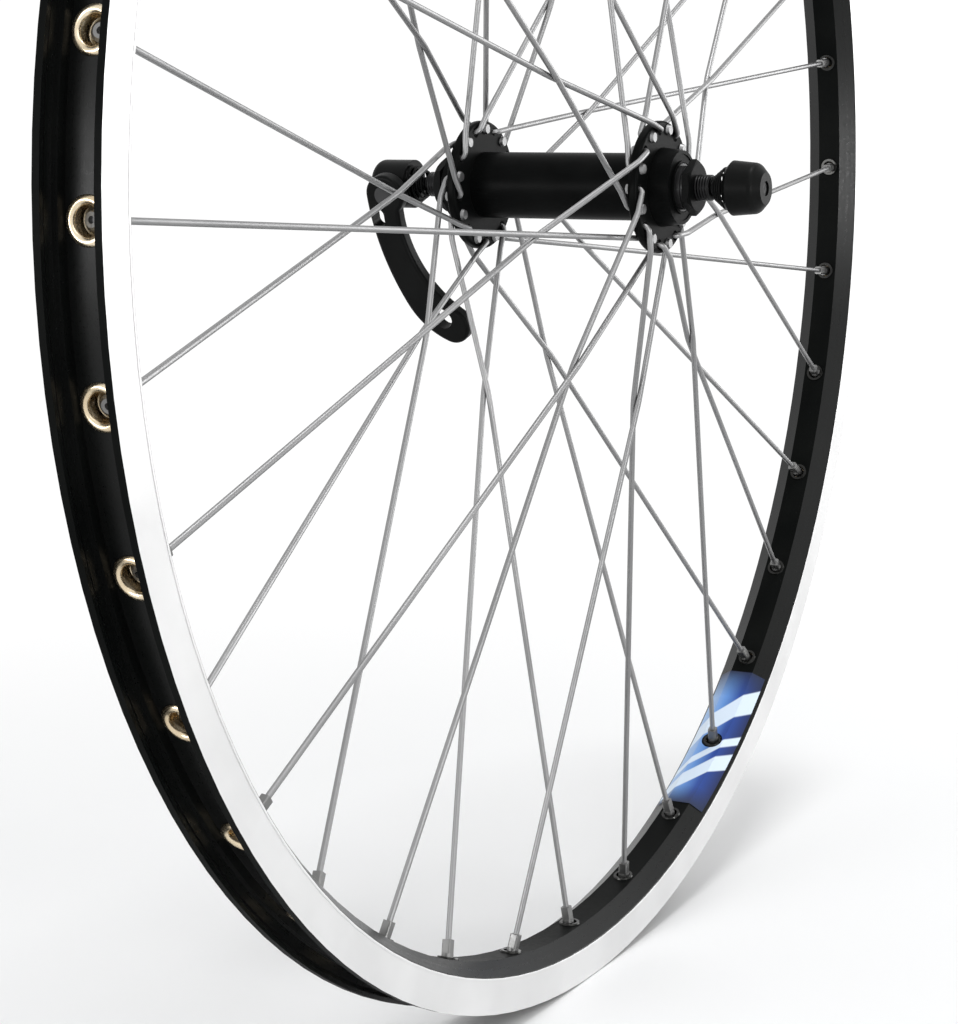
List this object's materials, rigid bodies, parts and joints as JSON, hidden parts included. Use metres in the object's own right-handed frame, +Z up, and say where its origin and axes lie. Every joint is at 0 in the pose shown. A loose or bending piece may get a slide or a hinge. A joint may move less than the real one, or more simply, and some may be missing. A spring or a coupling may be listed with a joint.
{
  "type": "bicycle front wheel",
  "caption": "Spoked bicycle front wheel for rim brakes, without tyre, with a hooked double-wall rim, cup-and-cone hub and quick-release skewer.",
  "frame": {"origin": "centre of the hub, on the wheel's axis, midway between the two locknut faces", "axes": "+Y along the wheel's axis towards the quick-release lever, +Z up as in the picture, +X completes the right-handed frame"},
  "size_m": [0.5709, 0.1518, 0.571],
  "materials": {
    "rim": "black anodised with machined silver brake tracks",
    "eyelet": "bright",
    "nipple": "nickel plated",
    "spoke": "satin",
    "hub": "black anodised",
    "steel": "satin",
    "bearing": "ground",
    "dust_cap": "satin",
    "skewer_black": "satin black",
    "lever": "satin black",
    "spring": "bright wire"
  },
  "bodies": {
    "axle": {"axle": "steel", "cone_left": "bearing", "cone_right": "bearing", "lock_washers": "steel", "locknut_left": "steel", "locknut_right": "steel", "spring_left": "spring", "spring_right": "spring"},
    "wheel": {"rim": "rim", "eyelets": "eyelet", "nipples": "nipple", "hub_shell": "hub", "bearing_cup_left": "bearing", "bearing_cup_right": "bearing", "dust_cap_left": "dust_cap", "dust_cap_right": "dust_cap", "spoke_01": "spoke", "spoke_02": "spoke", "spoke_03": "spoke", "spoke_04": "spoke", "spoke_05": "spoke", "spoke_06": "spoke", "spoke_07": "spoke", "spoke_08": "spoke", "spoke_09": "spoke", "spoke_10": "spoke", "spoke_11": "spoke", "spoke_12": "spoke", "spoke_13": "spoke", "spoke_14": "spoke", "spoke_15": "spoke", "spoke_16": "spoke", "spoke_17": "spoke", "spoke_18": "spoke", "spoke_19": "spoke", "spoke_20": "spoke", "spoke_21": "spoke", "spoke_22": "spoke", "spoke_23": "spoke", "spoke_24": "spoke", "spoke_25": "spoke", "spoke_26": "spoke", "spoke_27": "spoke", "spoke_28": "spoke", "spoke_29": "spoke", "spoke_30": "spoke", "spoke_31": "spoke", "spoke_32": "spoke", "spoke_33": "spoke", "spoke_34": "spoke", "spoke_35": "spoke", "spoke_36": "spoke"},
    "balls": {"balls_left": "bearing", "balls_right": "bearing"},
    "skewer": {"skewer_head": "skewer_black"},
    "lever": {"lever": "lever", "cam_shaft": "steel", "lever_cap_nut": "nipple"},
    "rod": {"skewer_rod": "steel"},
    "nut": {"skewer_nut": "skewer_black"}
  },
  "joints": [
    {"name": "wheel_spin", "type": "hinge", "parent": "axle", "child": "wheel", "pos_m": [0, 0, 0], "axis": [0, 1, 0], "continuous": true},
    {"name": "balls_orbit", "type": "hinge", "parent": "axle", "child": "balls", "pos_m": [0, 0, 0], "axis": [0, 1, 0], "continuous": true},
    {"name": "skewer_turn", "type": "hinge", "parent": "axle", "child": "skewer", "pos_m": [0, 0, 0], "axis": [0, 1, 0], "continuous": true},
    {"name": "lever_swing", "type": "hinge", "parent": "skewer", "child": "lever", "pos_m": [0, 0.068, 0], "axis": [0.9511, 0, 0.309], "range_deg": [0, 180]},
    {"name": "rod_draw", "type": "slide", "parent": "skewer", "child": "rod", "axis": [0, -1, 0], "range_m": [0, 0.002]},
    {"name": "nut_turn", "type": "hinge", "parent": "rod", "child": "nut", "pos_m": [0, 0, 0], "axis": [0, 1, 0], "continuous": true}
  ],
  "couplings": [
    {"joint": "balls_orbit", "follows": "wheel_spin", "ratio": 0.6014},
    {"joint": "rod_draw", "follows": "lever_swing", "m_per_rad": 0.00063662}
  ]
}
